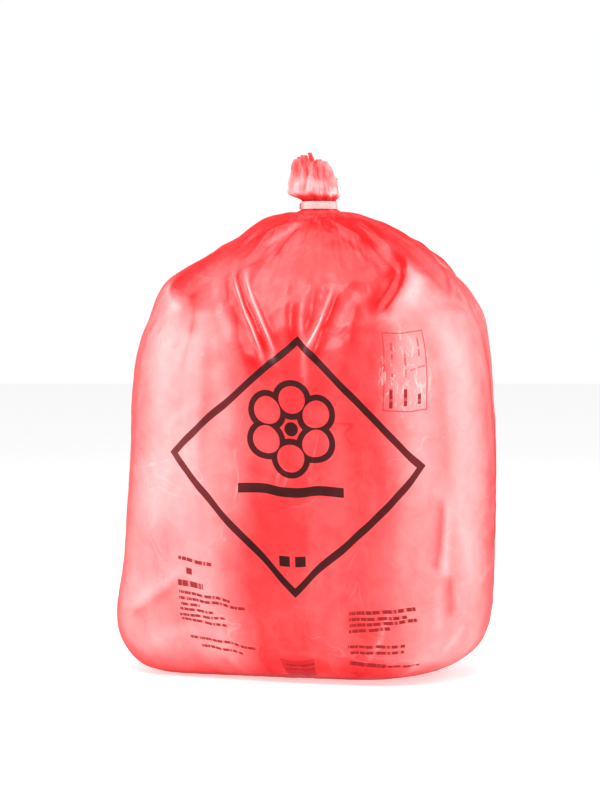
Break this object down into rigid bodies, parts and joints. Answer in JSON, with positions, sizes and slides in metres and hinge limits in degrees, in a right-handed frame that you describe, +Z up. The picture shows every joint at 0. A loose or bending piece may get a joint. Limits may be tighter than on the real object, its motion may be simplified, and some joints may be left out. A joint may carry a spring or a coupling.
{
  "type": "filled clinical waste bag",
  "caption": "Tall, soft, filled bag of thin red film standing on its base, its mouth gathered into a neck, closed by a plastic strip tie, with the spare film bunched above.",
  "frame": {"origin": "on the floor, under the middle of the bag", "axes": "+Z up, the printed face looks along -Y, +X to the right as seen from the printed face"},
  "size_m": [0.4508, 0.3344, 0.6115],
  "materials": {
    "red_film": "thin translucent red polythene film, glossy and crumpled, with a dark print on the front",
    "tie_plastic": "pale translucent plastic, satin"
  },
  "bodies": {
    "root": {"bag": "red_film", "neck_tie": "tie_plastic"}
  },
  "joints": []
}
